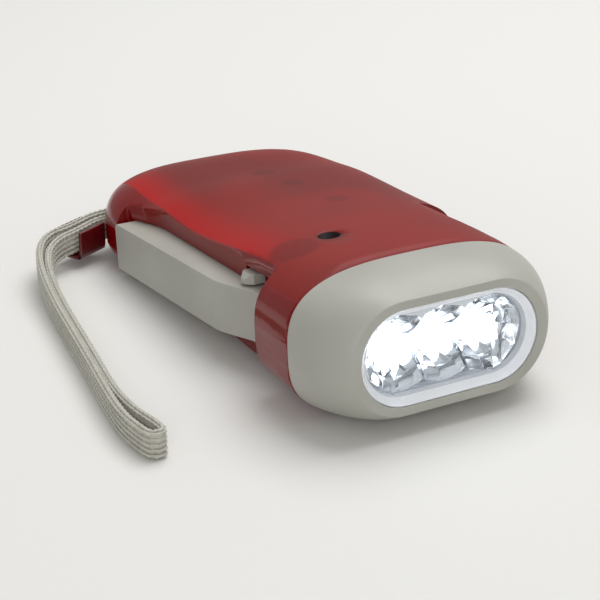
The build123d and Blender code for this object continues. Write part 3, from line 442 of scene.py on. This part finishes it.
grit = add_node(red_plastic, "ShaderNodeTexNoise", [("Vector", red_place), ("Scale", 1 / frost_grain),
                                                    ("Detail", 3.0)])
cloud = add_node(red_plastic, "ShaderNodeTexNoise", [("Vector", red_place), ("Scale", 1 / cloud_size),
                                                     ("Detail", 2.0)])
# Painted glow: a brighter red painted on the top along the lever-side edge, fading out towards the head and
# the middle.
near_glow = add_node(red_plastic, "ShaderNodeMapRange", [
    ("Value", red_axes["Y"]), ("From Min", glow_y[0]), ("From Max", glow_y[1]), ("To Min", 1.0),
    ("To Max", 0.0)], interpolation_type="SMOOTHSTEP")
back_glow = add_node(red_plastic, "ShaderNodeMapRange", [
    ("Value", red_axes["X"]), ("From Min", glow_x[0]), ("From Max", glow_x[1]), ("To Min", 0.9),
    ("To Max", 0.0)], interpolation_type="SMOOTHSTEP")
edge_glow = add_node(red_plastic, "ShaderNodeMath", [(0, near_glow), (1, back_glow)], operation="MULTIPLY")
patches = add_node(red_plastic, "ShaderNodeMapRange", [
    ("Value", cloud), ("From Min", 0.35), ("From Max", 0.7)], interpolation_type="SMOOTHSTEP")
frosted = add_node(red_plastic, "ShaderNodeMix", [
    ("Factor", patches), (6, linear("#9E1E17")), (7, linear("#84201A"))], output=2, data_type="RGBA")
glowing = add_node(red_plastic, "ShaderNodeMix", [
    ("Factor", edge_glow), (6, frosted), (7, linear("#C40A06"))], output=2, data_type="RGBA")
# The painted boss shadows darken the frosted colour.
boss_shade_share = add_node(red_plastic, "ShaderNodeMath", [(0, boss_shade_mask), (1, boss_shade)], operation="MULTIPLY")
boss_shaded = add_node(red_plastic, "ShaderNodeMix", [
    ("Factor", boss_shade_share), (6, glowing), (7, linear("#5E100C"))], output=2, data_type="RGBA")
outside = add_node(red_plastic, "ShaderNodeMix", [
    ("Factor", frost), (6, linear("#940302")), (7, boss_shaded)], output=2, data_type="RGBA")
# The painted shade of the screw bores goes over everything else.
skin_colour = add_node(red_plastic, "ShaderNodeMix", [
    ("Factor", bore_shade), (6, outside), (7, linear("#180303"))], output=2, data_type="RGBA")
feed(red_plastic, skin_colour, red, "Base Color")
skin_rough = add_node(red_plastic, "ShaderNodeMapRange", [
    ("Value", frost), ("To Min", polished_roughness), ("To Max", frosted_roughness)])
feed(red_plastic, skin_rough, red, "Roughness")
clearness = add_node(red_plastic, "ShaderNodeMapRange", [
    ("Value", frost), ("To Min", polished_clearness), ("To Max", frosted_clearness)])
# No light passes where the bore shade is painted.
outside_bore_shade = add_node(red_plastic, "ShaderNodeMath", [(0, 1.0), (1, bore_shade)], operation="SUBTRACT")
passing = add_node(red_plastic, "ShaderNodeMath", [(0, clearness), (1, outside_bore_shade)], operation="MULTIPLY")
feed(red_plastic, passing, red, "Transmission Weight")
red.inputs["IOR"].default_value = 1.5
red.inputs["Specular IOR Level"].default_value = 0.24
frost_height = add_node(red_plastic, "ShaderNodeMath", [(0, grit), (1, frost)], operation="MULTIPLY")
frost_bump = add_node(red_plastic, "ShaderNodeBump", [("Height", frost_height), ("Strength", 0.25),
                                                      ("Distance", frost_bump_height)])
feed(red_plastic, frost_bump, red, "Normal")
finish_copy("top_shell_skin", "top_shell", "housing", red_plastic, smooth=28.0)
finish_copy("bottom_shell_skin", "bottom_shell", "housing", red_plastic, smooth=28.0)

# Grey mouldings: the head bezel, the squeeze lever and the lock's knob, in satin light grey ABS.
# The mould is finely eroded, so the faces are even and soft, and the edges stay crisp.
grey_grit_size = 0.25 * MM
grey_bump_height = 0.03 * MM
grey_cloud_size = 22.22 * MM
grey_abs, grey = new_material("satin_grey_abs")
grey.inputs["IOR"].default_value = 1.53
grey_place, _ = torch_axes(grey_abs)
grey_grit = add_node(grey_abs, "ShaderNodeTexNoise", [("Vector", grey_place), ("Scale", 1 / grey_grit_size),
                                                      ("Detail", 3.0)])
grey_cloud = add_node(grey_abs, "ShaderNodeTexNoise", [
    ("Vector", grey_place), ("Scale", 1 / grey_cloud_size), ("Detail", 3.0)])
grey_tone = add_node(grey_abs, "ShaderNodeValToRGB", [("Fac", grey_cloud)])
grey_stops = grey_tone.node.color_ramp.elements
grey_stops[0].position = 0.35
grey_stops[0].color = linear("#A6A59D")
grey_stops[1].position = 0.7
grey_stops[1].color = linear("#B1B0A8")
feed(grey_abs, grey_tone, grey, "Base Color")
grey_rough = add_node(grey_abs, "ShaderNodeMapRange", [
    ("Value", grey_grit), ("From Min", 0.3), ("From Max", 0.7), ("To Min", 0.36), ("To Max", 0.5)])
feed(grey_abs, grey_rough, grey, "Roughness")
grey_bump = add_node(grey_abs, "ShaderNodeBump", [("Height", grey_grit), ("Strength", 0.12),
                                                  ("Distance", grey_bump_height)])
feed(grey_abs, grey_bump, grey, "Normal")
finish_copy("bezel_moulding", "head_bezel", "housing", grey_abs, edge=0.12, smooth=30.0)
lever_tail_x = -87.0 * MM
lever_top_z = 4.9 * MM
lever_round = 1.3
same_place = 0.02 * MM
from_table = Matrix.Rotation(torch_tilt, 3, "Y")


def over_lever_tail(side):
    """Whether an edge is the one between the lever's top and its tail face."""
    ends = [from_table @ (v.co - torch_shift) for v in side.verts]
    return all(abs(end.x - lever_tail_x) + abs(end.z - lever_top_z) < same_place for end in ends)


finish_copy("squeeze_lever", "lever", "lever", grey_abs, edge=0.2, join_flats=True,
            rounds=(over_lever_tail, lever_round))
finish_copy("lock_knob", "lock_slider", "lock_slider", grey_abs, edge=0.08, smooth=12.0,
            join_flats=True)

# Lens: one clear polystyrene moulding with a flange behind the bezel's front plate.
# The window is polished; the sloping wall of the mouth is frosted, and a painted glow (weak emission) shows
# it white as if lit from behind.
window_height = 14.6 * MM
window_half_flat = (32.5 * MM - window_height) / 2
window_round = window_height / 2
mouth_blur = 0.05 * MM
mouth_glow = 0.08
clear_flow_size = 8.33 * MM
clear_bump_height = 0.05 * MM
clear_styrene, clear = new_material("clear_polystyrene")
clear.inputs["Base Color"].default_value = linear("#F6F8FA")
clear.inputs["IOR"].default_value = 1.49
clear.inputs["Emission Color"].default_value = linear("#F1F6FF")
clear_place, clear_axes = torch_axes(clear_styrene)
to_side = add_node(clear_styrene, "ShaderNodeMath", [(0, clear_axes["Y"])], operation="ABSOLUTE")
past_flat = add_node(clear_styrene, "ShaderNodeMath", [(0, to_side), (1, window_half_flat)],
                     operation="SUBTRACT")
on_round = add_node(clear_styrene, "ShaderNodeMath", [(0, past_flat), (1, 0.0)], operation="MAXIMUM")
from_flat = add_node(clear_styrene, "ShaderNodeCombineXYZ", [("X", on_round), ("Y", clear_axes["Z"])])
from_centre = add_node(clear_styrene, "ShaderNodeVectorMath", [(0, from_flat)], output="Value",
                       operation="LENGTH")
mouth = add_node(clear_styrene, "ShaderNodeMapRange", [
    ("Value", from_centre), ("From Min", window_round - mouth_blur),
    ("From Max", window_round + mouth_blur)])
mouth_rough = add_node(clear_styrene, "ShaderNodeMapRange", [("Value", mouth), ("To Min", 0.02),
                                                             ("To Max", 0.4)])
feed(clear_styrene, mouth_rough, clear, "Roughness")
mouth_clear = add_node(clear_styrene, "ShaderNodeMapRange", [("Value", mouth), ("To Min", 1.0),
                                                             ("To Max", 0.35)])
feed(clear_styrene, mouth_clear, clear, "Transmission Weight")
# Painted light: a weak emission on the frosted mouth wall, which is no lamp.
mouth_light = add_node(clear_styrene, "ShaderNodeMath", [(0, mouth), (1, mouth_glow)], operation="MULTIPLY")
feed(clear_styrene, mouth_light, clear, "Emission Strength")
clear_flow = add_node(clear_styrene, "ShaderNodeTexNoise", [
    ("Vector", clear_place), ("Scale", 1 / clear_flow_size)])
clear_bump = add_node(clear_styrene, "ShaderNodeBump", [("Height", clear_flow), ("Strength", 0.02),
                                                        ("Distance", clear_bump_height)])
feed(clear_styrene, clear_bump, clear, "Normal")
finish_copy("lens_window", "lens", "housing", clear_styrene, smooth=25.0)

# Reflector: one ABS moulding with three facetted dishes, vacuum plated with aluminium.
# Each facet is a flat mirror, so the lamps show in it as broken bright patches.
plated_haze_size = 3.85 * MM
plated_abs, plated = new_material("vacuum_plated_abs")
plated.inputs["Metallic"].default_value = 1.0
plated.inputs["Base Color"].default_value = linear("#DDE0E3")
plated_place, _ = torch_axes(plated_abs)
plated_haze = add_node(plated_abs, "ShaderNodeTexNoise", [
    ("Vector", plated_place), ("Scale", 1 / plated_haze_size), ("Detail", 2.0)])
plated_rough = add_node(plated_abs, "ShaderNodeMapRange", [
    ("Value", plated_haze), ("From Min", 0.3), ("From Max", 0.7), ("To Min", 0.05), ("To Max", 0.14)])
feed(plated_abs, plated_rough, plated, "Roughness")
finish_copy("reflector_plated", "reflector", "housing", plated_abs, smooth=12.0)

# Lamps: three 5 mm white LEDs cast in clear epoxy, lit.
# The dome over the chip is brightest and the light falls off down the body to the base.
lamp_base_x = -14.0 * MM
lamp_dome_x = -8.0 * MM
lit_epoxy, lit = new_material("lit_led_epoxy")
lit.inputs["Base Color"].default_value = linear("#F4F7FB")
lit.inputs["Roughness"].default_value = 0.08
lit.inputs["Emission Color"].default_value = linear("#F1F6FF")
_, lit_axes = torch_axes(lit_epoxy)
dome_light = add_node(lit_epoxy, "ShaderNodeMapRange", [
    ("Value", lit_axes["X"]), ("From Min", lamp_base_x), ("From Max", lamp_dome_x), ("To Min", 1.5),
    ("To Max", 6.0)], interpolation_type="SMOOTHSTEP")
feed(lit_epoxy, dome_light, lit, "Emission Strength")
for side in ("left", "centre", "right"):
    finish_copy(f"lamp_{side}", f"led_{side}", "housing", lit_epoxy, smooth=40.0)

# What is inside, seen through the red plastic: gears, rotor, coil, boards, cells, pins and wires.
# Each carried-over node gets the finish of its real piece, with the grain that its making leaves:
# a dark and a light colour, how metallic and how rough it is, and the size of its grain in millimetres.
inner_finishes = {
    "acetal": (["first_gear", "second_gear", "rotor_pinion", "ratchet_wheel", "coil_bobbin"],
               "#E2DFD4", "#F0EEE6", 0.0, 0.38, 2.5),
    "drawn_steel": (["lever_pivot_pin", "first_gear_pin", "second_gear_pin", "rotor_shaft", "strap_pin",
                     "lever_return_spring"], "#8E8F92", "#A6A7AA", 1.0, 0.3, 1.11),
    "blackened_steel": (["shell_screws"], "#17171A", "#242428", 0.6, 0.4, 1.11),
    "nickel_plate": (["cell_lower", "cell_upper"], "#B0B1B4", "#C4C5C8", 1.0, 0.24, 2.0),
    "spring_brass": (["cell_contact_lower", "cell_contact_upper"], "#B39A5C", "#C9B176", 1.0, 0.3, 2.0),
    "sintered_ferrite": (["magnet_ring"], "#26262A", "#35353A", 0.0, 0.6, 1.67),
    "turned_steel": (["flywheel"], "#8A8B8E", "#A0A1A4", 1.0, 0.34, 1.43),
    "lamination_steel": (["stator_core"], "#5E5F63", "#75767A", 1.0, 0.45, 1.67),
    "enamelled_copper": (["coil_winding"], "#9A4A22", "#BC6A36", 1.0, 0.3, 0.67),
    "black_phenolic": (["rectifier_diodes", "capacitor", "switch_body", "switch_knob"],
                       "#17171A", "#232326", 0.0, 0.42, 1.67),
    "solder_mask": (["led_board", "circuit_board"], "#1F5A34", "#2A6E42", 0.0, 0.35, 2.0),
    "red_vinyl_wire": (["led_wires", "coil_wires"], "#7E1512", "#96211C", 0.0, 0.4, 2.0)}
grain_gloss = (0.85, 1.2)
for name, (nodes, dark, light, metallic, roughness, grain_size) in inner_finishes.items():
    material, shader = new_material(name)
    shader.inputs["Metallic"].default_value = metallic
    place, _ = torch_axes(material)
    grain = add_node(material, "ShaderNodeTexNoise", [("Vector", place), ("Scale", 1 / (grain_size * MM)),
                                                      ("Detail", 3.0)])
    tone = add_node(material, "ShaderNodeValToRGB", [("Fac", grain)])
    tone.node.color_ramp.elements[0].color = linear(dark)
    tone.node.color_ramp.elements[1].color = linear(light)
    feed(material, tone, shader, "Base Color")
    grain_rough = add_node(material, "ShaderNodeMapRange", [
        ("Value", grain), ("From Min", 0.3), ("From Max", 0.7), ("To Min", roughness * grain_gloss[0]),
        ("To Max", roughness * grain_gloss[1])])
    feed(material, grain_rough, shader, "Roughness")
    for node in nodes:
        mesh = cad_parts[node].data
        mesh.materials.clear()
        mesh.materials.append(material)
